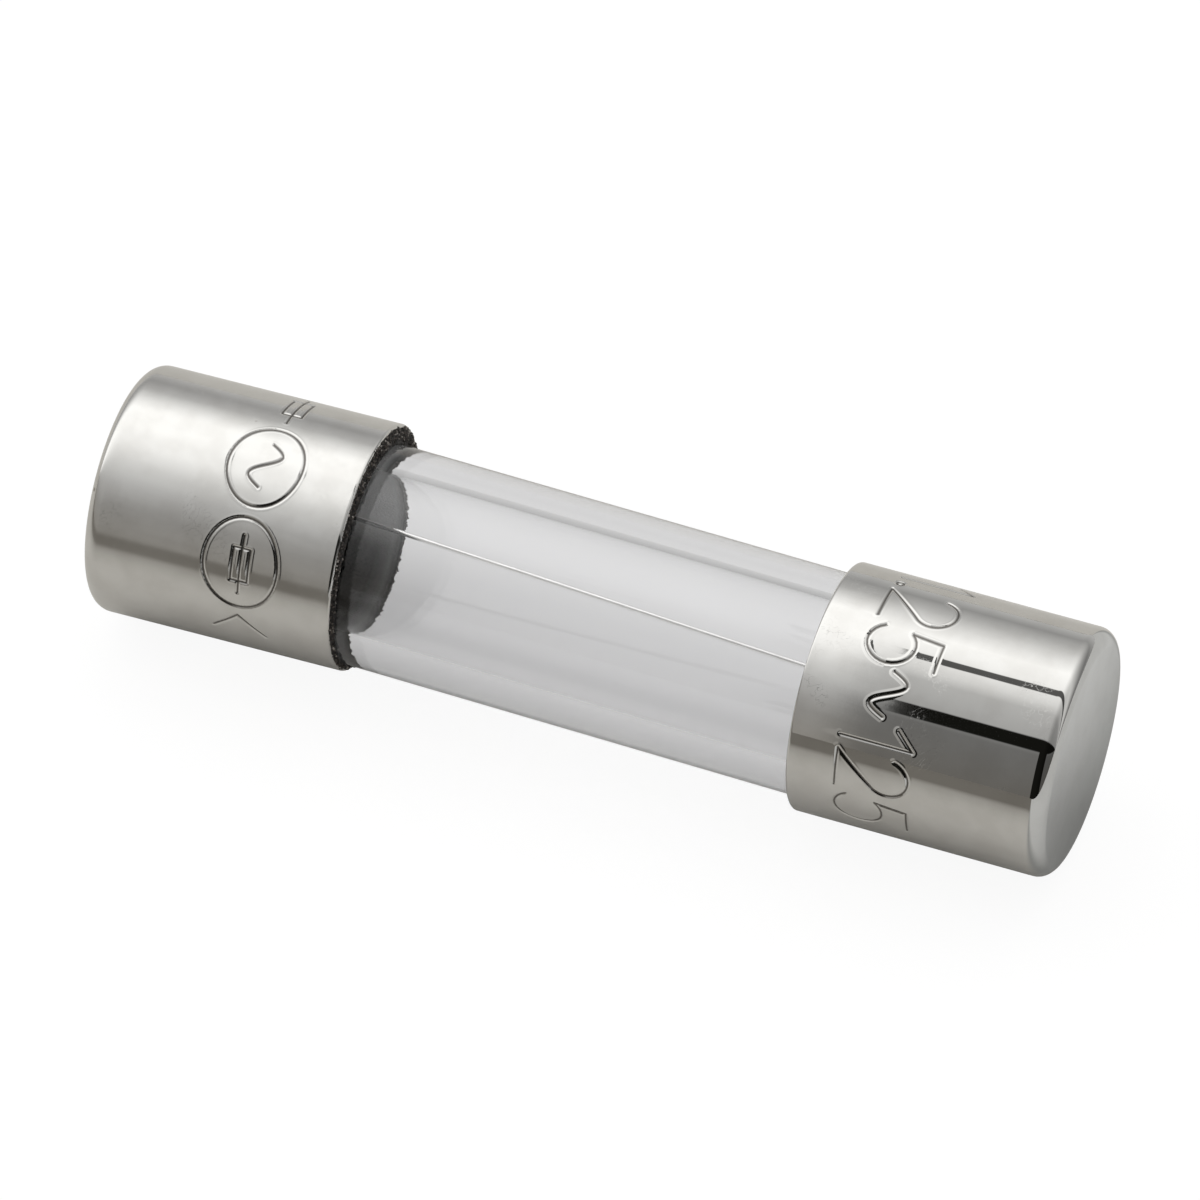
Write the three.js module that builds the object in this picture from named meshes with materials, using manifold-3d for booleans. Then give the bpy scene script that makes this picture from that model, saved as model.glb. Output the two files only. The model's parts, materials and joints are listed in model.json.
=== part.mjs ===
// A 5 x 20 mm glass cartridge fuse, lying on its side along +X.
// Millimetres, +Z up, origin at the middle of the fuse.

import * as THREE from "three";
import { mergeVertices } from "three/addons/utils/BufferGeometryUtils.js";
import Module from "manifold-3d";

// Overall
const fuseLength = 20;
const sides = 32; // flats round every turned piece, with one flat facing straight down
const fitGap = 0.01; // between pieces that touch

// End caps: drawn cups of plated brass
const capDiameter = 5;
const capLength = 5.22;
const capWall = 0.12;
const capCornerRadius = 0.32; // outside, round the closed end

// Glass tube
const tubeDiameter = 4.46;
const tubeBore = 3.24;
const tubeLength = 19;
const tubeEdgeRadius = 0.12; // fire-polished ends

// Fuse wire, drawn tight but not quite through the centre of the bore
const wireDiameter = 0.1;
const wireLength = 17.8;
const wireRiseLeft = 0.73; // off the axis at the left solder
const wireRiseRight = 0.09; // off the axis at the right solder

// Solder in the bottom of each cap, and cement between each cap and the glass
const solderPool = 0.95; // depth from the cap's outer face, round the glass
const solderPlug = 1.35; // depth from the cap's outer face, at the bore's wall
const solderCrown = 0.3; // how far the plug domes up round the wire
const cementRise = 0.07; // proud of the cap's mouth, where it brims over the lip

// The caps are cemented on by hand, so each sits slightly askew of the glass.
// Both lean the same way: the +X side of each cap lifts towards leanDirection.
const leanDirection = THREE.MathUtils.degToRad(50); // from +Z towards +Y
const leftLean = { angle: 1.84, pivot: -8.6 }; // degrees, and x of the still point
const rightLean = { angle: 0.83, pivot: 4.1 };

const capRadius = capDiameter / 2;
const capInnerRadius = capRadius - capWall;
const tubeRadius = tubeDiameter / 2;
const boreRadius = tubeBore / 2;
const wireRadius = wireDiameter / 2;
const tubeSetBack = (fuseLength - tubeLength) / 2; // from a cap's outer face to the glass
const offAxis = new THREE.Vector3(0, Math.sin(leanDirection), Math.cos(leanDirection));

const wasm = await Module();
wasm.setup();

// Points on an arc of a profile. x is the radius from the fuse's axis and y runs along it.
function arc(x, y, radius, fromDegrees, toDegrees, steps) {
  const points = [];
  for (let i = 0; i <= steps; i += 1) {
    const angle = THREE.MathUtils.degToRad(fromDegrees + ((toDegrees - fromDegrees) * i) / steps);
    points.push(new THREE.Vector2(x + radius * Math.cos(angle), y + radius * Math.sin(angle)));
  }
  return points;
}

// Turns a profile about +X. The flats, not the corners, lie on the profile's radius.
function turned(profile) {
  const outOfRound = 1 / Math.cos(Math.PI / sides);
  const points = profile.map((p) => new THREE.Vector2(p.x * outOfRound, p.y));
  const geometry = new THREE.LatheGeometry(points, sides, Math.PI / sides, 2 * Math.PI);
  return geometry.rotateZ(-Math.PI / 2);
}

function solidFrom(geometry) {
  const bare = geometry.clone();
  bare.deleteAttribute("normal");
  bare.deleteAttribute("uv");
  const merged = mergeVertices(bare, 1e-4);
  return new wasm.Manifold(
    new wasm.Mesh({
      numProp: 3,
      vertProperties: merged.attributes.position.array,
      triVerts: new Uint32Array(merged.index.array),
    }),
  );
}

function geometryFrom(solid) {
  const { vertProperties, triVerts } = solid.getMesh();
  const geometry = new THREE.BufferGeometry();
  geometry.setAttribute("position", new THREE.BufferAttribute(vertProperties, 3));
  geometry.setIndex(new THREE.BufferAttribute(triVerts, 1));
  geometry.computeVertexNormals();
  return geometry;
}

// A cup, from its outer face at x = 0 to its mouth at x = capLength.
function capGeometry() {
  const innerCorner = capCornerRadius - capWall;
  const lip = capWall / 2;
  return turned([
    new THREE.Vector2(0, 0),
    ...arc(capRadius - capCornerRadius, capCornerRadius, capCornerRadius, -90, 0, 6),
    ...arc(capRadius - lip, capLength - lip, lip, 0, 180, 6),
    ...arc(capInnerRadius - innerCorner, capWall + innerCorner, innerCorner, 0, -90, 4),
    new THREE.Vector2(0, capWall),
  ]);
}

// A tube about x = 0 with rounded rims. grow makes it fatter all round, to cut its neighbours with.
function tubeGeometry(grow = 0) {
  const outer = tubeRadius + grow;
  const inner = boreRadius - grow;
  const half = tubeLength / 2 + grow;
  const edge = tubeEdgeRadius;
  const profile = [
    ...arc(outer - edge, -half + edge, edge, -90, 0, 3),
    ...arc(outer - edge, half - edge, edge, 0, 90, 3),
    ...arc(inner + edge, half - edge, edge, 90, 180, 3),
    ...arc(inner + edge, -half + edge, edge, 180, 270, 3),
  ];
  return turned([...profile, profile[0].clone()]);
}

// The wire runs straight between two points off the axis. grow makes it fatter and longer.
function wireGeometry(grow = 0) {
  const half = wireLength / 2 + grow;
  const slope = (wireRiseRight - wireRiseLeft) / wireLength;
  const middle = (wireRiseRight + wireRiseLeft) / 2;
  const pointAt = (x) => offAxis.clone().multiplyScalar(middle + slope * x).setX(x);
  const section = new THREE.Shape().absarc(0, 0, wireRadius + grow, 0, 2 * Math.PI);
  return new THREE.ExtrudeGeometry(section, {
    curveSegments: 8,
    steps: 4,
    extrudePath: new THREE.LineCurve3(pointAt(-half), pointAt(half)),
  });
}

// Solder filling the bottom of a cap, from x = 0 at the cap's outer face.
function solderGeometry() {
  const innerCorner = capCornerRadius - capWall;
  const radius = capInnerRadius - fitGap;
  const plugRadius = boreRadius - fitGap;
  return turned([
    new THREE.Vector2(0, capWall + fitGap),
    ...arc(radius - innerCorner, capWall + fitGap + innerCorner, innerCorner, -90, 0, 4),
    new THREE.Vector2(radius, solderPool),
    new THREE.Vector2(plugRadius, solderPool),
    new THREE.Vector2(plugRadius, solderPlug),
    new THREE.Vector2(plugRadius * 0.6, solderPlug + solderCrown * 0.75),
    new THREE.Vector2(0, solderPlug + solderCrown),
  ]);
}

// Cement filling the gap inside a cap, from the solder to a low rim over the cap's lip.
function cementGeometry() {
  const outer = capInnerRadius - fitGap;
  const inner = boreRadius; // the glass is cut out of it
  const start = solderPool + fitGap;
  const lip = capLength + fitGap;
  const end = capLength + cementRise;
  return turned([
    new THREE.Vector2(inner, start),
    new THREE.Vector2(outer, start),
    new THREE.Vector2(outer, lip),
    new THREE.Vector2(capRadius - fitGap, lip),
    new THREE.Vector2(capInnerRadius, end),
    new THREE.Vector2(inner, end),
    new THREE.Vector2(inner, start),
  ]);
}

const nickel = { color: 0xc4c0b8, metalness: 1, roughness: 0.22 };
const clearGlass = { color: 0xe6eaec, metalness: 0, roughness: 0.05, transparent: true, opacity: 0.35 };
const tinnedWire = { color: 0xc9c9cc, metalness: 1, roughness: 0.3 };
const dullSolder = { color: 0x8d8f92, metalness: 1, roughness: 0.45 };
const darkCement = { color: 0x2c2723, metalness: 0, roughness: 0.9 };

function named(name, geometry, finish) {
  const mesh = new THREE.Mesh(geometry, new THREE.MeshStandardMaterial(finish));
  mesh.name = name;
  return mesh;
}

// A group whose x = 0 is a cap's outer face and whose +X runs in from it, leaning as that cap does.
function endFrame(side, lean) {
  const seat = new THREE.Group();
  seat.position.x = (side * fuseLength) / 2 - lean.pivot;
  seat.rotation.z = side > 0 ? Math.PI : 0;
  const leaning = new THREE.Group();
  leaning.position.x = lean.pivot;
  const across = new THREE.Vector3(1, 0, 0).cross(offAxis);
  leaning.quaternion.setFromAxisAngle(across, THREE.MathUtils.degToRad(lean.angle));
  leaning.add(seat);
  leaning.updateMatrixWorld(true);
  return { leaning, seat };
}

const tubeCutter = solidFrom(tubeGeometry(fitGap));
const wireCutter = solidFrom(wireGeometry(fitGap));

// What is left of a piece in an end's frame once the glass and the wire are cut out of it.
function fittedRoundGlass(geometry, seat) {
  const placed = solidFrom(geometry.applyMatrix4(seat.matrixWorld));
  const cut = placed.subtract(tubeCutter).subtract(wireCutter);
  const bodies = cut.decompose().sort((a, b) => b.volume() - a.volume());
  return geometryFrom(bodies[0]);
}

function endPieces(label, side, lean) {
  const { leaning, seat } = endFrame(side, lean);
  const pieces = new THREE.Group();
  seat.add(named(`${label}_cap`, capGeometry(), nickel));
  pieces.add(
    leaning,
    named(`${label}_solder`, fittedRoundGlass(solderGeometry(), seat), dullSolder),
    named(`${label}_cement`, fittedRoundGlass(cementGeometry(), seat), darkCement),
  );
  return pieces;
}

const fuse = new THREE.Group();
fuse.add(
  named("glass_tube", tubeGeometry(), clearGlass),
  named("fuse_wire", wireGeometry(), tinnedWire),
  endPieces("left", -1, leftLean),
  endPieces("right", 1, rightLean),
);

export default fuse;
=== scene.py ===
import json
import math

import bmesh
import bpy
import numpy as np
from mathutils import Matrix, Vector, noise


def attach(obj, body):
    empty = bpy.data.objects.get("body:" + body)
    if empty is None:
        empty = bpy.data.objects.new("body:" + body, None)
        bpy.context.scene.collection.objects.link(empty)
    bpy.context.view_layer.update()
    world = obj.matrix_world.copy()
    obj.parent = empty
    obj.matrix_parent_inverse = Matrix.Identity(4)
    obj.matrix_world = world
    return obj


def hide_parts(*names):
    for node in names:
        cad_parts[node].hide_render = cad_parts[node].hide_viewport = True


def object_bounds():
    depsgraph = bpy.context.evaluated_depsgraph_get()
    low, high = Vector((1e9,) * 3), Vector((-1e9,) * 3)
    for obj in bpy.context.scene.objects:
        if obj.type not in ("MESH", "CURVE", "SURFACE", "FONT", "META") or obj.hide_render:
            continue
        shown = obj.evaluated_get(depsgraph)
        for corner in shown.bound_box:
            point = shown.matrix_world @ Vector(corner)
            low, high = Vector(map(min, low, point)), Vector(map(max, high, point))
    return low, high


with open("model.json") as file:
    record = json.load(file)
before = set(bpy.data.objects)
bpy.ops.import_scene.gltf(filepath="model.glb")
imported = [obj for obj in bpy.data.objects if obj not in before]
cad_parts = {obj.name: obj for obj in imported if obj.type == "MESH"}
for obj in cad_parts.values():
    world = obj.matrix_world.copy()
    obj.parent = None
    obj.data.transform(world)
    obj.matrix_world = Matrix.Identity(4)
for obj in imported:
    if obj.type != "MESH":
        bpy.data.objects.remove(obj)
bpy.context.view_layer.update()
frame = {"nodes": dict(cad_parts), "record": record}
mm = 0.001
turn = 2 * math.pi
print("frame: loaded", len(frame["nodes"]), "nodes")


# Places and sizes, read off the frame

def endPlace(mountName):  # x runs in from a cap's outer face, z is up
    mount = next(m for m in frame["record"]["mounts"] if m["name"] == mountName)
    inward = -Vector(mount["axis"]).normalized()
    up = (Vector((0, 0, 1)) - inward * inward.z).normalized()
    place = Matrix((inward, up.cross(inward), up)).transposed().to_4x4()
    place.translation = Vector(mount["pos_m"])
    return place


def turnedSizes(node, place):  # a turned CAD node's points, as distance along its axis and from it
    points = [place.inverted() @ v.co for v in frame["nodes"][node].data.vertices]
    flatsPerCorner = math.cos(math.pi / 32)  # the frame's turned pieces have 32 flats
    radii = [math.hypot(p.y, p.z) * flatsPerCorner for p in points]
    return np.array([p.x for p in points]), np.array(radii)


places = {"left": endPlace("left_end_face"), "right": endPlace("right_end_face")}
capDepths, capRadii = turnedSizes("left_cap", places["left"])
tubeDepths, tubeRadii = turnedSizes("glass_tube", Matrix.Identity(4))
capLength = float(capDepths.max())
capRadius = float(capRadii.max())
capInner = float(capRadii[capDepths > capLength - 0.3 * mm].min())
capWall = capRadius - capInner
tubeRadius = float(tubeRadii.max())
boreRadius = float(tubeRadii.min())
tubeHalf = float(tubeDepths.max())


# Building blocks

def smoothStep(low, high, value):
    t = np.clip((value - low) / (high - low), 0, 1)
    return t * t * (3 - 2 * t)


def arc(centre, radius, start, end, steps):  # points on an arc, in degrees
    angles = np.radians(np.linspace(start, end, steps + 1))
    return [(centre[0] + radius * math.cos(a), centre[1] + radius * math.sin(a)) for a in angles]


def meshObject(name, vertices, faces):
    mesh = bpy.data.meshes.new(name)
    mesh.from_pydata([tuple(v) for v in vertices], [], faces)
    shape = bmesh.new()
    shape.from_mesh(mesh)
    bmesh.ops.recalc_face_normals(shape, faces=shape.faces)
    shape.to_mesh(mesh)
    shape.free()
    mesh.shade_smooth()
    piece = bpy.data.objects.new(name, mesh)
    bpy.context.scene.collection.objects.link(piece)
    return piece


def skin(name, rows, looped=False):  # rows of points round an axis; a row of one point is a pole
    starts, vertices = [], []
    for row in rows:
        starts.append(len(vertices))
        vertices.extend(row)
    pairs = [(i, i + 1) for i in range(len(rows) - 1)]
    if looped:
        pairs.append((len(rows) - 1, 0))
    faces = []
    for a, b in pairs:
        na, nb, sa, sb = len(rows[a]), len(rows[b]), starts[a], starts[b]
        for k in range(max(na, nb)):
            n = (k + 1) % max(na, nb)
            if na == 1:
                faces.append((sa, sb + k, sb + n))
            elif nb == 1:
                faces.append((sa + k, sb, sa + n))
            else:
                faces.append((sa + k, sb + k, sb + n, sa + n))
    return meshObject(name, vertices, faces)


def roundPoint(place, depth, radius, angle):  # angle is from straight up towards the front
    front = -1 if place.col[0].x > 0 else 1
    return place @ Vector((depth, front * radius * math.sin(angle), radius * math.cos(angle)))


def finished(piece, node, materials):
    for material in materials:
        piece.data.materials.append(material)
    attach(piece, "root")
    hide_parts(node)
    return piece


# Shader parts

def nodesOf(material):
    material.use_nodes = True
    tree = material.node_tree
    return tree, tree.nodes["Principled BSDF"]


def addNode(tree, kind, inputs=None, **settings):
    node = tree.nodes.new(kind)
    for key, value in settings.items():
        setattr(node, key, value)
    for key, value in (inputs or {}).items():
        if isinstance(value, bpy.types.NodeSocket):
            tree.links.new(value, node.inputs[key])
        else:
            node.inputs[key].default_value = value
    return node


def calculate(tree, operation, a, b=0.0, clamp=False):
    return addNode(tree, "ShaderNodeMath", {0: a, 1: b}, operation=operation, use_clamp=clamp).outputs[0]


def remap(tree, value, fromLow, fromHigh, toLow=0.0, toHigh=1.0):
    keys = {"Value": value, "From Min": fromLow, "From Max": fromHigh, "To Min": toLow, "To Max": toHigh}
    return addNode(tree, "ShaderNodeMapRange", keys, interpolation_type="SMOOTHSTEP").outputs["Result"]


def blendColour(tree, factor, a, b):
    keys = {"Factor": factor, 6: a, 7: b}
    return addNode(tree, "ShaderNodeMix", keys, data_type="RGBA").outputs[2]


def pieceCoords(tree, scale=(1, 1, 1)):  # object coordinates in millimetres, stretched by scale
    source = addNode(tree, "ShaderNodeTexCoord").outputs["Object"]
    keys = {"Vector": source, "Scale": [s / mm for s in scale]}
    return addNode(tree, "ShaderNodeMapping", keys).outputs["Vector"]


def newGroup(name, inputs, outputs):
    tree = bpy.data.node_groups.new(name, "ShaderNodeTree")
    for label, kind, value in inputs:
        socket = tree.interface.new_socket(label, in_out="INPUT", socket_type="NodeSocket" + kind)
        if value is not None:
            socket.default_value = value
    for label, kind in outputs:
        tree.interface.new_socket(label, in_out="OUTPUT", socket_type="NodeSocket" + kind)
    return tree, addNode(tree, "NodeGroupInput").outputs, addNode(tree, "NodeGroupOutput").inputs


def buildHandlingWear():  # scratches, pits and smears that a handled metal or glass surface picks up
    tree, given, made = newGroup(
        "handlingWear",
        [("Vector", "Vector", None), ("Scratch Width", "Float", 0.02), ("Pit Spacing", "Float", 0.7)],
        [("Scratches", "Float"), ("Pits", "Float"), ("Smears", "Float"), ("Height", "Float")],
    )
    tilted = addNode(tree, "ShaderNodeMapping", {"Vector": given["Vector"], "Rotation": (0.5, 0.9, 0.3)})
    fine = addNode(tree, "ShaderNodeMapping", {"Vector": tilted.outputs[0], "Scale": (0.25, 9.0, 9.0)})
    lines = addNode(tree, "ShaderNodeTexNoise", {"Vector": fine.outputs[0], "Scale": 1.0, "Detail": 2.0})
    away = calculate(tree, "ABSOLUTE", calculate(tree, "SUBTRACT", lines.outputs["Fac"], 0.5))
    thin = remap(tree, away, 0.0, given["Scratch Width"], 1.0, 0.0)
    patch = addNode(tree, "ShaderNodeTexNoise", {"Vector": given["Vector"], "Scale": 0.9, "Detail": 1.0})
    scratches = calculate(tree, "MULTIPLY", thin, remap(tree, patch.outputs["Fac"], 0.56, 0.72))
    spacing = calculate(tree, "DIVIDE", 1.0, given["Pit Spacing"])
    cells = addNode(tree, "ShaderNodeTexVoronoi", {"Vector": given["Vector"], "Scale": spacing})
    kept = addNode(tree, "ShaderNodeSeparateColor", {"Color": cells.outputs["Color"]})
    near = remap(tree, cells.outputs["Distance"], 0.02, 0.075, 1.0, 0.0)
    pits = calculate(tree, "MULTIPLY", near, calculate(tree, "GREATER_THAN", kept.outputs["Red"], 0.72))
    smear = addNode(tree, "ShaderNodeTexNoise", {"Vector": given["Vector"], "Scale": 1.6, "Detail": 4.0})
    tree.links.new(scratches, made["Scratches"])
    tree.links.new(pits, made["Pits"])
    tree.links.new(remap(tree, smear.outputs["Fac"], 0.35, 0.7), made["Smears"])
    cut = calculate(tree, "ADD", calculate(tree, "MULTIPLY", scratches, 0.25), pits)
    tree.links.new(calculate(tree, "SUBTRACT", 1.0, cut), made["Height"])
    return tree


def wearOn(tree, group, vector, **values):
    node = addNode(tree, "ShaderNodeGroup", node_tree=group)
    tree.links.new(vector, node.inputs["Vector"])
    for key, value in values.items():
        node.inputs[key.replace("_", " ")].default_value = value
    return node.outputs


def bumpFrom(tree, height, distance, strength=1.0, normal=None):
    keys = {"Height": height, "Distance": distance, "Strength": strength}
    if normal:
        keys["Normal"] = normal
    return addNode(tree, "ShaderNodeBump", keys).outputs["Normal"]


handlingWear = buildHandlingWear()
print("shader groups: built")


# End caps: drawn cups with marks rolled into the barrel

cap = {
    "cornerRadius": 0.32 * mm,  # outside, round the closed end; as the frame's caps
    "markMargin": 0.1 * mm,  # fine mesh round the marks
    "markPitch": 0.017 * mm,  # spacing of the fine mesh
    "grooveWidth": 0.085 * mm,
    "grooveDepth": 0.024 * mm,
    "grooveBurr": 0.0025 * mm,  # metal raised beside a stroke
    "plain": 120,  # columns in a full turn, away from the marks
    "roughness": {"left": 0.1, "right": 0.01},  # the right cap is the shinier of the two
    "haze": {"left": 0.06, "right": 0.012},  # roughness added along the drawing lines
    "peelDepth": {"left": 0.0002 * mm, "right": 0.00001 * mm},
}


def ellipse(cx, cy, rx, ry, start=0, end=360, steps=20):
    angles = np.radians(np.linspace(start, end, steps + 1))
    return [(cx + rx * math.cos(a), cy + ry * math.sin(a)) for a in angles]


# Each mark is strokes in a box one high, on its own width
marks = {
    "1": (0.36, [[(0.04, 0.76), (0.28, 1.0), (0.28, 0.0)]]),
    "2": (0.62, [ellipse(0.31, 0.71, 0.28, 0.29, 165, -38) + [(0.03, 0.0), (0.61, 0.0)]]),
    "5": (0.60, [[(0.56, 1.0), (0.14, 1.0), (0.09, 0.56)] + ellipse(0.3, 0.33, 0.29, 0.33, 125, -150)]),
    ".": (0.16, [ellipse(0.08, 0.05, 0.05, 0.05, steps=10)]),
    "wave": (0.62, [[(0.62 * i / 20, 0.5 + 0.22 * math.sin(turn * i / 20)) for i in range(21)]]),
    "fuse": (0.9, [[(0.2, 0.36), (0.7, 0.36), (0.7, 0.64), (0.2, 0.64), (0.2, 0.36)],
                   [(0.0, 0.5), (0.9, 0.5)]]),
    "ringWave": (1.28, [ellipse(0.64, 0.5, 0.61, 0.52, steps=48),
                        [(0.3 + 0.68 * i / 20, 0.5 + 0.19 * math.sin(turn * i / 20)) for i in range(21)]]),
    "ringFuse": (1.28, [ellipse(0.64, 0.5, 0.66, 0.53, steps=48),
                        [(0.4, 0.38), (0.88, 0.38), (0.88, 0.62), (0.4, 0.62), (0.4, 0.38)],
                        [(0.22, 0.5), (1.06, 0.5)]]),
    "chevron": (0.4, [[(0.0, 0.12), (0.36, 0.5), (0.0, 0.88)]]),
}
capMarks = {
    "left": {"rows": ["chevron", "ringFuse", "ringWave", "fuse"], "height": 1.45 * mm,
             "base": 1.19 * mm, "start": 103, "gap": 0.155, "sense": -1},
    "right": {"rows": ["1", ".", "2", "5", "wave", "1", "2", "5"], "height": 1.47 * mm,
              "base": 1.0 * mm, "start": -43, "gap": 0.08, "sense": 1},
}


def markStrokes(layout):  # every stroke as points round the barrel and in from the closed end
    strokes = []
    reach = math.radians(layout["start"]) * capRadius
    for name in layout["rows"]:
        width, lines = marks[name]
        for line in lines:
            strokes.append([
                (reach + layout["sense"] * x * layout["height"],
                 capLength - layout["base"] - y * layout["height"])
                for x, y in line
            ])
        reach += layout["sense"] * (width + layout["gap"]) * layout["height"]
    return strokes


def distanceToStrokes(points, strokes):
    nearest = np.full(len(points), 1.0)
    for line in strokes:
        for a, b in zip(line[:-1], line[1:]):
            a, b = np.array(a), np.array(b)
            run = b - a
            t = np.clip((points - a) @ run / max(run @ run, 1e-18), 0, 1)
            away = points - a - t[:, None] * run
            nearest = np.minimum(nearest, np.hypot(away[:, 0], away[:, 1]))
    return nearest


def finely(low, high):  # from low up to, but not at, high
    return np.linspace(low, high, round((high - low) / cap["markPitch"]), endpoint=False)


def capProfile(strokes):  # (radius, depth) from the middle of the outer face, over the lip, to the inner face
    corner, lip = cap["cornerRadius"], capWall / 2
    innerCorner = corner - capWall
    reach = [depth for line in strokes for _, depth in line]
    low, high = min(reach) - cap["markMargin"], max(reach) + cap["markMargin"]
    crisp = 0.01 * mm  # a row this close to a bend keeps the shading of the flat beside it true
    barrel = [*np.linspace(corner + crisp, low, 5)[:-1], *finely(low, high),
              *np.linspace(high, capLength - lip - crisp, 4)]
    profile = [((capRadius - corner - crisp) * k / 8, 0.0) for k in range(9)]
    profile += arc((capRadius - corner, corner), corner, -90, 0, 12)
    profile += [(capRadius, depth) for depth in barrel]
    profile += arc((capRadius - lip, capLength - lip), lip, 0, 180, 8)
    profile += [(capInner, depth) for depth in np.linspace(capLength - lip, capWall + innerCorner, 5)[1:-1]]
    profile += arc((capInner - innerCorner, capWall + innerCorner), innerCorner, 0, -90, 4)
    profile += [((capInner - innerCorner) / 2, capWall), (0, capWall)]
    return profile


def capAngles(strokes):
    margin = cap["markMargin"]
    reach = [around for line in strokes for around, _ in line]
    low, high = min(reach) - margin, max(reach) + margin
    plainPart = 1 - (high - low) / (turn * capRadius)
    plain = np.linspace(high, low + turn * capRadius, round(cap["plain"] * plainPart), endpoint=False)
    return np.concatenate((finely(low, high), plain)) / capRadius


def buildCap(side):
    place, strokes = places[side], markStrokes(capMarks[side])
    profile, angles = capProfile(strokes), capAngles(strokes)
    half = cap["grooveWidth"] / 2
    rows, grooves = [], []
    for radius, depth in profile:
        if radius == 0:
            rows.append([roundPoint(place, depth, 0, 0)])
            grooves.append(0.0)
            continue
        radii, mask = np.full(len(angles), radius), np.zeros(len(angles))
        if radius == capRadius:
            spots = np.column_stack((angles * capRadius, np.full(len(angles), depth)))
            away = distanceToStrokes(spots, strokes)
            mask = np.clip(1 - away / half, 0, 1)
            beside = np.exp(-(((away - half * 1.35) / (half * 0.4)) ** 2))
            radii = radii - cap["grooveDepth"] * mask + cap["grooveBurr"] * beside
        rows.append([roundPoint(place, depth, r, a) for r, a in zip(radii, angles)])
        grooves.extend(mask)
    piece = skin(f"{side}_cap_shell", rows)
    attribute = piece.data.attributes.new("groove", "FLOAT", "POINT")
    attribute.data.foreach_set("value", np.array(grooves, np.float32))
    return piece


def platedMetal(side):
    roughness, haze = cap["roughness"][side], cap["haze"][side]
    material = bpy.data.materials.new(f"{side}Plating")
    tree, shader = nodesOf(material)
    place = pieceCoords(tree)
    wear = wearOn(tree, handlingWear, place, Scratch_Width=0.006, Pit_Spacing=0.9)
    drawn = addNode(tree, "ShaderNodeTexNoise",
                    {"Vector": pieceCoords(tree, (0.25, 3.0, 3.0)), "Scale": 1.0, "Detail": 3.0})
    grain = addNode(tree, "ShaderNodeTexNoise", {"Vector": place, "Scale": 14.0, "Detail": 3.0})
    groove = addNode(tree, "ShaderNodeAttribute", attribute_name="groove").outputs["Fac"]
    toned = blendColour(tree, wear["Smears"], (0.69, 0.683, 0.665, 1), (0.64, 0.63, 0.61, 1))
    spotted = blendColour(tree, wear["Pits"], toned, (0.3, 0.28, 0.25, 1))
    # The grooves of the rolled marks are darkened in the base colour: painted shade
    groovePaintedShade = blendColour(tree, remap(tree, groove, 0.3, 0.8, 0.0, 0.9), spotted, (0.11, 0.1, 0.09, 1))
    tree.links.new(groovePaintedShade, shader.inputs["Base Color"])
    shader.inputs["Metallic"].default_value = 1.0
    rough = remap(tree, drawn.outputs["Fac"], 0.3, 0.7, roughness, roughness + haze)
    rougher = calculate(tree, "ADD", rough, calculate(tree, "MULTIPLY", wear["Scratches"], 0.08))
    tree.links.new(calculate(tree, "ADD", rougher, calculate(tree, "MULTIPLY", groove, 0.2)),
                   shader.inputs["Roughness"])
    ripple = bumpFrom(tree, drawn.outputs["Fac"], 0.0005 * mm)
    peel = bumpFrom(tree, grain.outputs["Fac"], cap["peelDepth"][side], normal=ripple)
    tree.links.new(bumpFrom(tree, wear["Height"], 0.002 * mm, normal=peel), shader.inputs["Normal"])
    return material


for side in places:
    finished(buildCap(side), f"{side}_cap", [platedMetal(side)])
print("caps: built with", sum(len(capMarks[s]["rows"]) for s in capMarks), "rolled marks")


# Glass tube

tube = {
    "rimRadius": 0.12 * mm,  # fire-polished ends
    "columns": 160,
}


def buildTube():
    rim, columns = tube["rimRadius"], tube["columns"]
    profile = []
    profile += arc((tubeRadius - rim, -tubeHalf + rim), rim, -90, 0, 5)
    profile += [(tubeRadius, x) for x in np.linspace(-tubeHalf + rim, tubeHalf - rim, 30)[1:-1]]
    profile += arc((tubeRadius - rim, tubeHalf - rim), rim, 0, 90, 5)
    profile += arc((boreRadius + rim, tubeHalf - rim), rim, 90, 180, 5)
    profile += [(boreRadius, x) for x in np.linspace(tubeHalf - rim, -tubeHalf + rim, 30)[1:-1]]
    profile += arc((boreRadius + rim, -tubeHalf + rim), rim, 180, 270, 5)
    angles = [turn * k / columns for k in range(columns)]
    rows = [[Vector((x, -r * math.sin(a), r * math.cos(a))) for a in angles] for r, x in profile]
    return skin("glass_tube_drawn", rows, looped=True)


def clearGlass():
    material = bpy.data.materials.new("clearGlass")
    tree, shader = nodesOf(material)
    shader.inputs["Transmission Weight"].default_value = 1.0
    shader.inputs["Roughness"].default_value = 0.0
    shader.inputs["IOR"].default_value = 1.52
    drawn = addNode(tree, "ShaderNodeTexNoise",
                    {"Vector": pieceCoords(tree, (0.05, 1.4, 1.4)), "Scale": 1.0, "Detail": 2.0})
    tinted = blendColour(tree, drawn.outputs["Fac"], (0.985, 0.984, 0.989, 1), (0.965, 0.964, 0.971, 1))
    tree.links.new(tinted, shader.inputs["Base Color"])
    tree.links.new(bumpFrom(tree, drawn.outputs["Fac"], 0.004 * mm), shader.inputs["Normal"])
    return material


finished(buildTube(), "glass_tube", [clearGlass()])
print("glass tube: built")


# Fuse wire, run through the tube by a curve

wire = {
    "radius": 0.05 * mm,
    "steps": 90,
    "sides": 16,
    "wander": 0.012 * mm,  # how far it strays from straight
}


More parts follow.
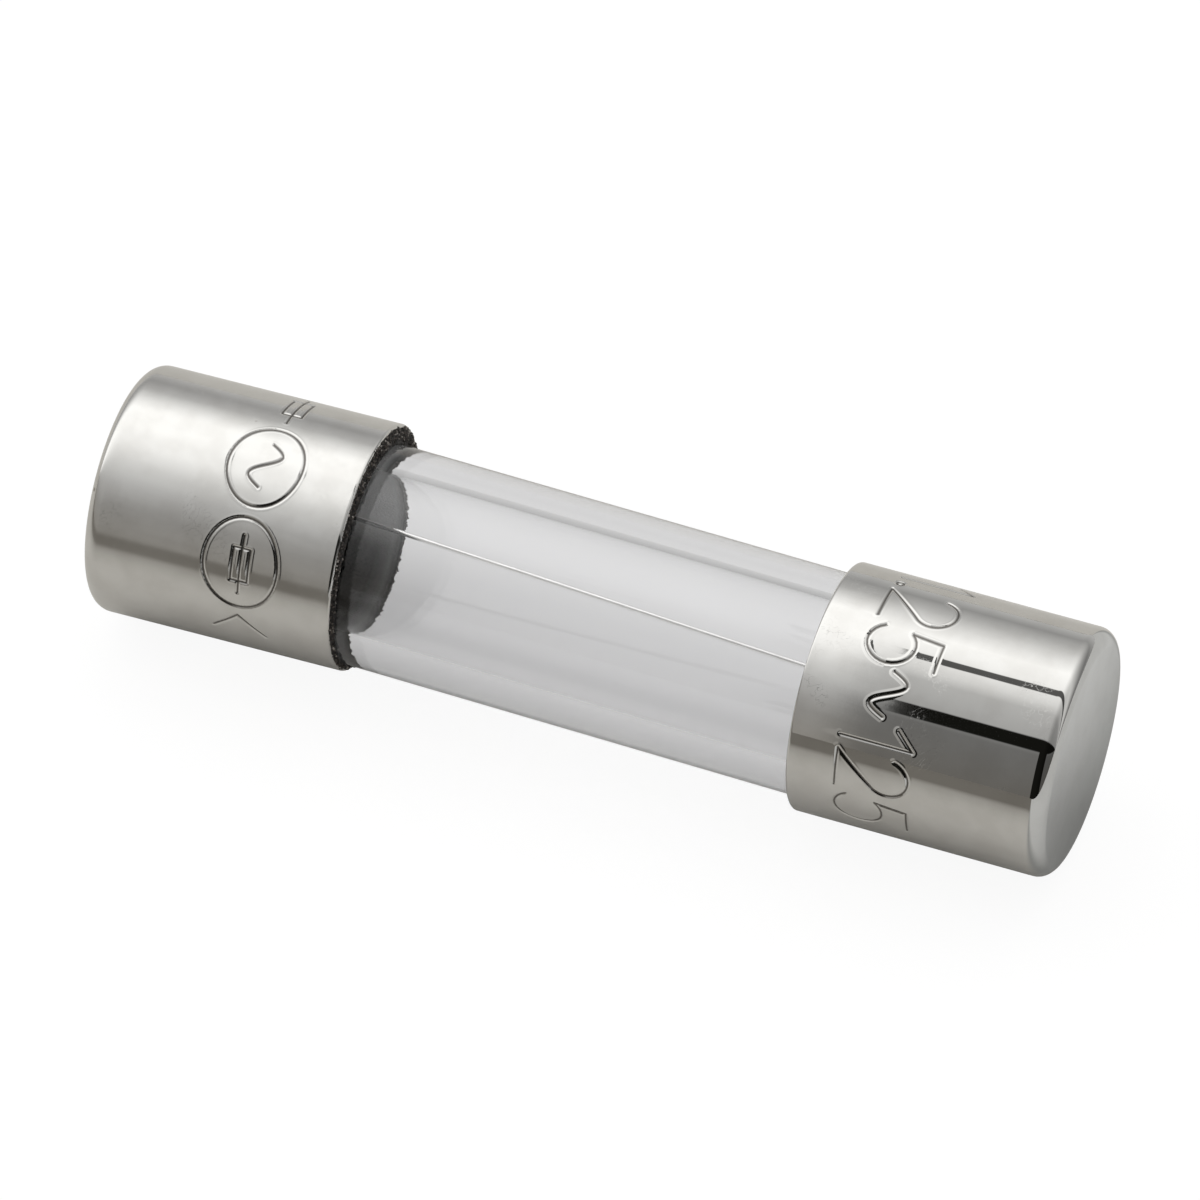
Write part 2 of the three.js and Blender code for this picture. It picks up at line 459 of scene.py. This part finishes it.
def newGeometryTree(name, inputs):
    tree = bpy.data.node_groups.new(name, "GeometryNodeTree")
    tree.interface.new_socket("Geometry", in_out="OUTPUT", socket_type="NodeSocketGeometry")
    sockets = {}
    for label, kind, value in inputs:
        socket = tree.interface.new_socket(label, in_out="INPUT", socket_type="NodeSocket" + kind)
        if value is not None:
            socket.default_value = value
        sockets[label] = socket.identifier
    return tree, sockets, addNode(tree, "NodeGroupInput").outputs, addNode(tree, "NodeGroupOutput").inputs


def grown(piece, tree, sockets, values):  # runs the tree on the piece and keeps the result as its mesh
    modifier = piece.modifiers.new(tree.name, "NODES")
    modifier.node_group = tree
    for label, value in values.items():
        modifier[sockets[label]] = value
    evaluated = piece.evaluated_get(bpy.context.evaluated_depsgraph_get())
    mesh = bpy.data.meshes.new_from_object(evaluated)
    piece.modifiers.remove(modifier)
    piece.data = mesh
    return piece


def wireTree():
    tree, sockets, given, made = newGeometryTree("wireRun", [
        ("Geometry", "Geometry", None), ("Start", "Vector", None), ("End", "Vector", None),
        ("Radius", "Float", wire["radius"]), ("Wander", "Float", wire["wander"]),
        ("Steps", "Int", wire["steps"]), ("Sides", "Int", wire["sides"]), ("Finish", "Material", None),
    ])
    line = addNode(tree, "GeometryNodeCurvePrimitiveLine", {"Start": given["Start"], "End": given["End"]})
    points = addNode(tree, "GeometryNodeResampleCurve", {"Curve": line.outputs[0], "Count": given["Steps"]})
    spot = addNode(tree, "GeometryNodeInputPosition").outputs[0]
    stray = addNode(tree, "ShaderNodeTexNoise", {"Vector": spot, "Scale": 160.0, "Detail": 1.0})
    centred = addNode(tree, "ShaderNodeVectorMath", {0: stray.outputs["Color"], 1: (0.5, 0.5, 0.5)},
                      operation="SUBTRACT")
    offset = addNode(tree, "ShaderNodeVectorMath", {0: centred.outputs[0], "Scale": given["Wander"]},
                     operation="SCALE")
    placed = addNode(tree, "GeometryNodeSetPosition",
                     {"Geometry": points.outputs[0], "Offset": offset.outputs[0]})
    section = addNode(tree, "GeometryNodeCurvePrimitiveCircle",
                      {"Resolution": given["Sides"], "Radius": given["Radius"]})
    swept = addNode(tree, "GeometryNodeCurveToMesh",
                    {"Curve": placed.outputs[0], "Profile Curve": section.outputs[0], "Fill Caps": True})
    soft = addNode(tree, "GeometryNodeSetShadeSmooth", {"Geometry": swept.outputs[0]})
    real = addNode(tree, "GeometryNodeRealizeInstances", {"Geometry": soft.outputs[0]})
    dressed = addNode(tree, "GeometryNodeSetMaterial",
                      {"Geometry": real.outputs[0], "Material": given["Finish"]})
    tree.links.new(dressed.outputs[0], made["Geometry"])
    return tree, sockets


def emptyPiece(name):
    piece = bpy.data.objects.new(name, bpy.data.meshes.new(name))
    bpy.context.scene.collection.objects.link(piece)
    return piece


def wireEnds():  # the middle of each end of the CAD wire
    points = np.array([v.co for v in frame["nodes"]["fuse_wire"].data.vertices])
    along = points[:, 0]
    nearEnd = 0.05 * mm
    return [Vector(points[abs(along - x) < nearEnd].mean(0)) for x in (along.min(), along.max())]


def brightWire():
    material = bpy.data.materials.new("brightWire")
    tree, shader = nodesOf(material)
    drawn = addNode(tree, "ShaderNodeTexNoise",
                    {"Vector": pieceCoords(tree, (1.5, 60.0, 60.0)), "Scale": 1.0, "Detail": 2.0})
    toned = blendColour(tree, drawn.outputs["Fac"], (0.97, 0.965, 0.955, 1), (0.86, 0.855, 0.84, 1))
    tree.links.new(toned, shader.inputs["Base Color"])
    shader.inputs["Metallic"].default_value = 1.0
    tree.links.new(remap(tree, drawn.outputs["Fac"], 0.3, 0.7, 0.1, 0.22), shader.inputs["Roughness"])
    tree.links.new(bumpFrom(tree, drawn.outputs["Fac"], 0.001 * mm), shader.inputs["Normal"])
    return material


wireRunTree, wireSockets = wireTree()
wireStart, wireEnd = wireEnds()
wireFinish = brightWire()
wirePiece = grown(emptyPiece("fuse_wire_drawn"), wireRunTree, wireSockets,
                  {"Start": wireStart, "End": wireEnd, "Finish": wireFinish})
finished(wirePiece, "fuse_wire", [] if wirePiece.data.materials else [wireFinish])
print("wire: built")


# Solder in the bottom of each cap

solder = {
    "poolDepth": 0.95 * mm,  # from the cap's outer face, round the glass
    "plugDepth": 1.35 * mm,  # at the bore's wall
    "crown": 0.35 * mm,  # rise towards the wire
    "lumps": 0.05 * mm,
    "columns": 96,
}


def buildSolder(side):
    place = places[side]
    top, plug, skinGap = solder["plugDepth"], boreRadius - 0.01 * mm, 0.005 * mm
    radius = capInner - skinGap
    profile = [(radius * 0.85 * k / 4, capWall + skinGap) for k in range(5)]
    profile += [(radius, capWall + 0.3 * mm), (radius, solder["poolDepth"]), (plug, solder["poolDepth"])]
    profile += [(plug, top)]
    profile += [(plug * (1 - k / 16), top + solder["crown"] * (1 - (1 - k / 16) ** 2)) for k in range(1, 17)]
    angles = [turn * k / solder["columns"] for k in range(solder["columns"])]
    rows = []
    for r, depth in profile:
        if r == 0:
            rows.append([roundPoint(place, depth, 0, 0)])
            continue
        row = []
        for a in angles:
            point = roundPoint(place, depth, r, a)
            if depth > top:
                rise = noise.noise(point / (0.5 * mm)) * solder["lumps"] * min(1, (plug - r) / (0.2 * mm))
                point = roundPoint(place, depth + rise, r, a)
            row.append(point)
        rows.append(row)
    return skin(f"{side}_solder_pool", rows)


def dullSolder():
    material = bpy.data.materials.new("dullSolder")
    tree, shader = nodesOf(material)
    grain = addNode(tree, "ShaderNodeTexNoise", {"Vector": pieceCoords(tree), "Scale": 9.0, "Detail": 5.0})
    toned = blendColour(tree, grain.outputs["Fac"], (0.5, 0.51, 0.52, 1), (0.28, 0.285, 0.29, 1))
    tree.links.new(toned, shader.inputs["Base Color"])
    shader.inputs["Metallic"].default_value = 1.0
    tree.links.new(remap(tree, grain.outputs["Fac"], 0.3, 0.7, 0.3, 0.55), shader.inputs["Roughness"])
    tree.links.new(bumpFrom(tree, grain.outputs["Fac"], 0.02 * mm), shader.inputs["Normal"])
    return material


solderFinish = dullSolder()
for side in places:
    finished(buildSolder(side), f"{side}_solder", [solderFinish])
print("solder: built")


# Capping cement: a grainy ring in each mouth

cement = {
    "rise": {"left": 0.05 * mm, "right": -0.08 * mm},  # proud of the cap's lip, or short of it
    "brim": 0.04 * mm,  # short of the cap's outside, where it lies on the lip
    "back": 1.0 * mm,  # where it meets the solder, from the cap's outer face
    "overlap": 0.012 * mm,  # it wets the glass and the metal
    "lumps": 0.06 * mm,
    "lumpSpacing": 0.1 * mm,
    "droop": 0.07 * mm,  # how far the face falls back at its outer edge
    "columns": 300,
    "grainSize": 0.034 * mm,
    "grainsPerSquareMm": 330,
    "paleShare": 0.14,
    "paintedLightSide": -70,  # degrees from straight up, the side where the lining is painted near-white as painted light
}


def glassRadiusFrom(place, depth, angle):  # how far the glass is from a cap's own axis
    centre = roundPoint(place, depth, 0, 0)
    ray = roundPoint(place, depth, 1, angle) - centre
    a = ray.y ** 2 + ray.z ** 2
    b = ray.y * centre.y + ray.z * centre.z
    c = centre.y ** 2 + centre.z ** 2 - tubeRadius ** 2
    return (-b + math.sqrt(b * b - a * c)) / a


def buildCement(side):
    place = places[side]
    face = capLength + cement["rise"][side]
    outer = capInner + cement["overlap"]
    brim = capRadius - cement["brim"] if face > capLength else outer
    lowest = min(face, capLength - 0.02 * mm)
    angles = [turn * k / cement["columns"] for k in range(cement["columns"])]
    across = np.linspace(0, 1, 9)
    depths = np.linspace(capLength - capWall, cement["back"], 14)
    rows, mouth, ownCementShare = [], [], []
    for t in across:  # the face in the mouth, from the glass out over the lip
        row = []
        for a in angles:
            inner = glassRadiusFrom(place, face, a) - cement["overlap"]
            radius = inner + (brim - inner) * t
            spot = roundPoint(place, face, radius, a) / cement["lumpSpacing"]
            lump = noise.noise(spot) * cement["lumps"]
            lump *= min(1, 0.04 + 1.8 * t)  # smooth where it wets the glass
            droop = cement["droop"] * t ** 4
            row.append(roundPoint(place, max(face + lump - droop, lowest), radius, a))
        rows.append(row)
        mouth += [smoothStep(0.1, 0.4, t)] * len(angles)
        ownCementShare += [1.0] * len(angles)
    for depth in depths:
        rows.append([roundPoint(place, depth, outer, a) for a in angles])
        mouth += [0.0] * len(angles)
        ownCementShare += [1.0] * len(angles)
    # The inner rows carry painted light and shade: towards one side the lining is painted near-white, and it
    # is painted paler near the mouth than deeper in
    pale = math.radians(cement["paintedLightSide"])
    for depth in depths[::-1]:
        rows.append([roundPoint(place, depth, glassRadiusFrom(place, depth, a) - cement["overlap"], a)
                     for a in angles])
        mouth += [0.0] * len(angles)
        nearMouth = 1 - 0.4 * smoothStep(capLength - 0.5 * mm, capLength - 0.1 * mm, depth)
        ownCementShare += [nearMouth * (1 - smoothStep(0.35, 0.7, math.cos(a - pale))) for a in angles]
    piece = skin(f"{side}_cement_ring", rows, looped=True)
    piece.data.attributes.new("mouth", "FLOAT", "POINT").data.foreach_set("value", mouth)
    piece.data.attributes.new("ownCementShare", "FLOAT", "POINT").data.foreach_set("value", ownCementShare)
    return piece


def grainTree():
    tree, sockets, given, made = newGeometryTree("cementGrains", [
        ("Geometry", "Geometry", None), ("Density", "Float", 1.0), ("Grain Size", "Float", 0.001),
        ("Pale Share", "Float", 0.1), ("Seed", "Int", 1),
        ("Body", "Material", None), ("Dark Grain", "Material", None), ("Pale Grain", "Material", None),
    ])
    mouth = addNode(tree, "GeometryNodeInputNamedAttribute", {"Name": "mouth"}, data_type="FLOAT")
    onMouth = addNode(tree, "FunctionNodeCompare", {0: mouth.outputs[0], 1: 0.9},
                      data_type="FLOAT", operation="GREATER_THAN")
    spots = addNode(tree, "GeometryNodeDistributePointsOnFaces",
                    {"Mesh": given["Geometry"], "Selection": onMouth.outputs[0], "Density": given["Density"],
                     "Seed": given["Seed"]})
    ball = addNode(tree, "GeometryNodeMeshIcoSphere", {"Radius": given["Grain Size"], "Subdivisions": 1})
    turned = addNode(tree, "FunctionNodeRandomValue", {"Min": (0.0, 0.0, 0.0), "Max": (6.28, 6.28, 6.28),
                                                       "Seed": given["Seed"]}, data_type="FLOAT_VECTOR")
    sized = addNode(tree, "FunctionNodeRandomValue", {"Min": (0.35, 0.35, 0.35), "Max": (1.25, 1.0, 0.8),
                                                      "Seed": given["Seed"]}, data_type="FLOAT_VECTOR")
    placed = addNode(tree, "GeometryNodeInstanceOnPoints",
                     {"Points": spots.outputs["Points"], "Instance": ball.outputs["Mesh"],
                      "Rotation": turned.outputs[0], "Scale": sized.outputs[0]})
    pick = addNode(tree, "FunctionNodeRandomValue", {"Probability": given["Pale Share"], "Seed": 7},
                   data_type="BOOLEAN")
    marked = addNode(tree, "GeometryNodeStoreNamedAttribute",
                     {"Geometry": placed.outputs[0], "Name": "pale", "Value": pick.outputs[3]},
                     data_type="BOOLEAN", domain="INSTANCE")
    grit = addNode(tree, "GeometryNodeStoreNamedAttribute",
                   {"Geometry": marked.outputs[0], "Name": "grit", "Value": True},
                   data_type="BOOLEAN", domain="INSTANCE")
    joined = addNode(tree, "GeometryNodeJoinGeometry")
    tree.links.new(grit.outputs[0], joined.inputs[0])
    tree.links.new(given["Geometry"], joined.inputs[0])
    dressed = addNode(tree, "GeometryNodeRealizeInstances", {"Geometry": joined.outputs[0]}).outputs[0]
    for label, mark in (("Body", None), ("Dark Grain", "grit"), ("Pale Grain", "pale")):
        keys = {"Geometry": dressed, "Material": given[label]}
        if mark:
            keys["Selection"] = addNode(tree, "GeometryNodeInputNamedAttribute", {"Name": mark},
                                        data_type="BOOLEAN").outputs[0]
        dressed = addNode(tree, "GeometryNodeSetMaterial", keys).outputs[0]
    tree.links.new(dressed, made["Geometry"])
    return tree, sockets


def grainyFinish(name, light, dark, roughness, scale, paintedLight=None):
    material = bpy.data.materials.new(name)
    tree, shader = nodesOf(material)
    grain = addNode(tree, "ShaderNodeTexNoise", {"Vector": pieceCoords(tree), "Scale": scale, "Detail": 6.0})
    mix = remap(tree, grain.outputs["Fac"], 0.35, 0.65)
    colour = blendColour(tree, mix, dark, light)
    # An optional colour laid on where the attribute read below falls: painted light on the cement lining
    if paintedLight:
        ownCementShare = addNode(tree, "ShaderNodeAttribute", attribute_name="ownCementShare").outputs["Fac"]
        colour = blendColour(tree, ownCementShare, paintedLight, colour)
    tree.links.new(colour, shader.inputs["Base Color"])
    tree.links.new(remap(tree, grain.outputs["Fac"], 0.3, 0.7, roughness, roughness - 0.3),
                   shader.inputs["Roughness"])
    tree.links.new(bumpFrom(tree, grain.outputs["Fac"], 0.02 * mm), shader.inputs["Normal"])
    return material


# The body's near-white extra colour is painted light on the lining
cementFinishes = {
    "Body": grainyFinish("darkCement", (0.03, 0.026, 0.022, 1), (0.008, 0.007, 0.006, 1), 0.85, 18.0,
                         paintedLight=(1, 1, 0.99, 1)),
    "Dark Grain": grainyFinish("cementGrit", (0.12, 0.1, 0.085, 1), (0.01, 0.009, 0.008, 1), 0.7, 16.0),
    "Pale Grain": grainyFinish("cementFlecks", (0.62, 0.58, 0.54, 1), (0.25, 0.22, 0.2, 1), 0.6, 16.0),
}
grainNodes, grainSockets = grainTree()
for seed, side in enumerate(places, start=3):
    ring = grown(buildCement(side), grainNodes, grainSockets, {
        "Density": cement["grainsPerSquareMm"] / mm ** 2, "Grain Size": cement["grainSize"],
        "Pale Share": cement["paleShare"], "Seed": seed, **cementFinishes,
    })
    finished(ring, f"{side}_cement", [])
print("cement: built")


# Studio: pale floor, wide soft light and the camera

studio = {
    "azimuth": 21.3,
    "elevation": 48,
    "distance": 210 * mm,
    "viewWidth": 23.44 * mm,  # across the picture at the fuse
    "aim": (0.015 * mm, 0.386 * mm),  # right and up from the middle of the fuse
    "floorSeen": (0.13, 0.13, 0.13, 1),  # looked at directly, with floorSeenGlow: a glow of painted light that all but hides the fuse's shadow
    "floorSeenGlow": (0.92, 0.92, 0.92, 1),
    "floorThrough": (0.37, 0.37, 0.37, 1),  # looked at through the glass, with floorThroughGlow: a glow of painted light that lifts the fuse's shadow seen through the tube
    "floorThroughGlow": (0.42, 0.42, 0.42, 1),
    "floorLit": (0.72, 0.7, 0.66, 1),  # as the caps reflect it, with floorLitGlow: a faint glow of painted light that lifts the shadow under the fuse
    "floorLitGlow": (0.05, 0.05, 0.05, 1),
    "floorFar": (0.2, 0.185, 0.16, 1),  # painted shade: well in front of the fuse the floor is darkened, as the caps reflect it
    "floorEdges": ((-21 * mm, -13.5 * mm), (-16 * mm, -4 * mm)),  # in front, where it turns from far to lit
    "floorEnd": (0.4, 0.405, 0.4, 1),  # painted shadow: the floor darkened beside the right cap's end face, as that face reflects it
    "floorEndFar": (0.74, 0.745, 0.74, 1),  # a little further from that face, where the painted shadow fades
    "floorEndStart": (9.3 * mm, 10.3 * mm),  # x over which floorEnd takes over
    "floorEndSpan": (10 * mm, 11.4 * mm),  # x over which it turns to floorEndFar
    "skyStrength": 1.6,
    "skyTurn": (-0.222, -0.2155),  # reach to the right over which skyLeft turns to skyRight
    "rightShade": 0.45,  # how much of the sky is taken away on the right
    "rightShadeSpan": (0.1, 0.7),
    # Dark cards that streak the right cap. Heights are in degrees, as for the sky
    "cardStart": (-0.2156, -0.2148),  # reach to the right at which the flag and the slit begin
    "flagHeights": (43, 53),
    "slitHeights": (95.5, 100.5),
    "slitDepth": 0.9,
    "standReach": (-0.18, 0.6),  # it stands beside the end of the cap
    "standHeights": (-18, 53),
    "cardTone": (0.006, 0.006, 0.005, 1),
    "skySeen": (0.6, 0.6, 0.597, 1),  # looked at directly
    "lampSize": (160 * mm, 120 * mm),
    "lampPlace": (0, 20 * mm, 220 * mm),
    "lampPower": 0.02,
}


def buildCamera():
    a, e = math.radians(studio["azimuth"]), math.radians(studio["elevation"])
    right = Vector((math.cos(a), math.sin(a), 0))
    back = Vector((math.sin(a) * math.cos(e), -math.cos(a) * math.cos(e), math.sin(e)))
    up = back.cross(right)
    data = bpy.data.cameras.new("camera")
    data.sensor_width = 36
    data.lens = data.sensor_width * studio["distance"] / studio["viewWidth"]
    data.clip_start, data.clip_end = 5 * mm, 20
    camera = bpy.data.objects.new("camera", data)
    camera.location = right * studio["aim"][0] + up * studio["aim"][1] + back * studio["distance"]
    camera.rotation_euler = Matrix((right, up, back)).transposed().to_euler()
    bpy.context.scene.collection.objects.link(camera)
    bpy.context.scene.camera = camera


def buildFloor():
    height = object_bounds()[0].z
    size = 2.0
    corners = [(-size, -size, height), (size, -size, height), (size, size, height), (-size, size, height)]
    floor = meshObject("floor", corners, [(0, 1, 2, 3)])
    material = bpy.data.materials.new("palePaper")
    tree, shader = nodesOf(material)
    path = addNode(tree, "ShaderNodeLightPath").outputs
    floorCoords = addNode(tree, "ShaderNodeTexCoord").outputs["Object"]
    spot = addNode(tree, "ShaderNodeSeparateXYZ", {"Vector": floorCoords}).outputs
    # Painted shade: the floor is darkened well in front of the fuse, for the caps to reflect
    steps = [remap(tree, spot["Y"], low, high, 0.0, 0.5) for low, high in studio["floorEdges"]]
    near = calculate(tree, "ADD", *steps)
    paper = blendColour(tree, near, studio["floorFar"], studio["floorLit"])
    # Painted shadow on the floor beside the right cap's end face
    farther = remap(tree, spot["X"], *studio["floorEndSpan"])
    ending = blendColour(tree, farther, studio["floorEnd"], studio["floorEndFar"])
    paper = blendColour(tree, remap(tree, spot["X"], *studio["floorEndStart"]), paper, ending)
    paper = blendColour(tree, path["Is Transmission Ray"], paper, studio["floorThrough"])
    paper = blendColour(tree, path["Is Camera Ray"], paper, studio["floorSeen"])
    # The floor glows, a painted light whose strength depends on the kind of ray; it lifts the fuse's shadow
    glow = blendColour(tree, path["Is Glossy Ray"], (0, 0, 0, 1), studio["floorLitGlow"])
    glow = blendColour(tree, path["Is Transmission Ray"], glow, studio["floorThroughGlow"])
    glow = blendColour(tree, path["Is Camera Ray"], glow, studio["floorSeenGlow"])
    tree.links.new(paper, shader.inputs["Base Color"])
    tree.links.new(glow, shader.inputs["Emission Color"])
    shader.inputs["Emission Strength"].default_value = 1.0
    shader.inputs["Roughness"].default_value = 0.9
    shader.inputs["Specular IOR Level"].default_value = 0.0
    floor.data.materials.append(material)


# Brightness of the surroundings by height: 0 is level in front of the fuse, 90 overhead, 180 level behind
skyLeft = [(0, 0.36), (23, 0.37), (32, 0.44), (50, 0.62), (68, 0.89), (86, 1.29),
           (105, 1.48), (126, 1.5), (151, 0.61), (166, 0.41), (180, 0.6)]
skyRight = [(0, 0.18), (39, 0.2), (45, 0.3), (53, 0.5), (77, 0.63), (86, 0.94),
            (105, 1.3), (120, 1.42), (151, 0.65), (166, 0.39), (180, 0.6)]


def heightRamp(tree, height, stops):
    ramp = addNode(tree, "ShaderNodeValToRGB", {"Fac": height})
    elements = ramp.color_ramp.elements
    for angle, value in stops:
        if angle == stops[0][0]:
            stop = elements[0]
        elif angle == stops[-1][0]:
            stop = elements[-1]
        else:
            stop = elements.new(angle / 180)
        stop.position = angle / 180
        level = value / studio["skyStrength"]
        warmth = max(0, 1 - angle / 45)
        stop.color = (level, level * (1 - 0.04 * warmth), level * (0.99 - 0.1 * warmth), 1)
    return ramp.outputs["Color"]


def band(tree, value, low, high, soft):  # 1 between low and high, fading over soft outside them
    rise = remap(tree, value, low - soft, low)
    fall = remap(tree, value, high, high + soft, 1.0, 0.0)
    return calculate(tree, "MULTIPLY", rise, fall)


def heightBand(tree, height, limits, soft):  # the same for heights in degrees
    low, high = limits
    return band(tree, height, low / 180, high / 180, soft / 180)


def buildSky():
    world = bpy.data.worlds.new("softStudio")
    world.use_nodes = True
    bpy.context.scene.world = world
    tree = world.node_tree
    generated = addNode(tree, "ShaderNodeTexCoord").outputs["Generated"]
    way = addNode(tree, "ShaderNodeSeparateXYZ", {"Vector": generated}).outputs
    forward = calculate(tree, "MULTIPLY", way["Y"], -1.0)
    radians = calculate(tree, "ARCTAN2", way["Z"], forward)
    height = calculate(tree, "DIVIDE", radians, math.pi)
    along = addNode(tree, "ShaderNodeVectorMath", {0: generated, 1: -places["right"].col[0].xyz},
                    operation="DOT_PRODUCT").outputs["Value"]
    toRight = remap(tree, along, *studio["skyTurn"])
    sky = blendColour(tree, toRight, heightRamp(tree, height, skyLeft), heightRamp(tree, height, skyRight))
    past = remap(tree, along, *studio["cardStart"])
    flag = calculate(tree, "MULTIPLY", past, heightBand(tree, height, studio["flagHeights"], 1.5))
    standLow, standHigh = studio["standReach"]
    stand = calculate(tree, "MULTIPLY", band(tree, along, standLow, standHigh, 0.02),
                      heightBand(tree, height, studio["standHeights"], 1.5))
    slit = calculate(tree, "MULTIPLY", past, heightBand(tree, height, studio["slitHeights"], 1))
    dark = calculate(tree, "MAXIMUM", flag, calculate(tree, "MULTIPLY", slit, studio["slitDepth"]))
    dark = calculate(tree, "MAXIMUM", dark, stand)
    flagged = blendColour(tree, dark, sky, studio["cardTone"])
    shadeLow, shadeHigh = studio["rightShadeSpan"]
    shaded = remap(tree, way["X"], shadeLow, shadeHigh, 0.0, studio["rightShade"])
    flagged = blendColour(tree, shaded, flagged, (0, 0, 0, 1))
    seen = addNode(tree, "ShaderNodeLightPath").outputs["Is Camera Ray"]
    shown = blendColour(tree, seen, flagged, studio["skySeen"])
    background = tree.nodes["Background"]
    tree.links.new(shown, background.inputs["Color"])
    background.inputs["Strength"].default_value = studio["skyStrength"]


def buildTopLight():
    data = bpy.data.lights.new("topPanel", "AREA")
    data.shape = "RECTANGLE"
    data.size, data.size_y = studio["lampSize"]
    data.energy = studio["lampPower"]
    lamp = bpy.data.objects.new("topPanel", data)
    lamp.location = studio["lampPlace"]
    lamp.visible_glossy = False
    lamp.visible_transmission = False
    bpy.context.scene.collection.objects.link(lamp)


buildCamera()
buildFloor()
buildSky()
buildTopLight()
bpy.context.scene.view_settings.view_transform = "Standard"
print("studio: built")
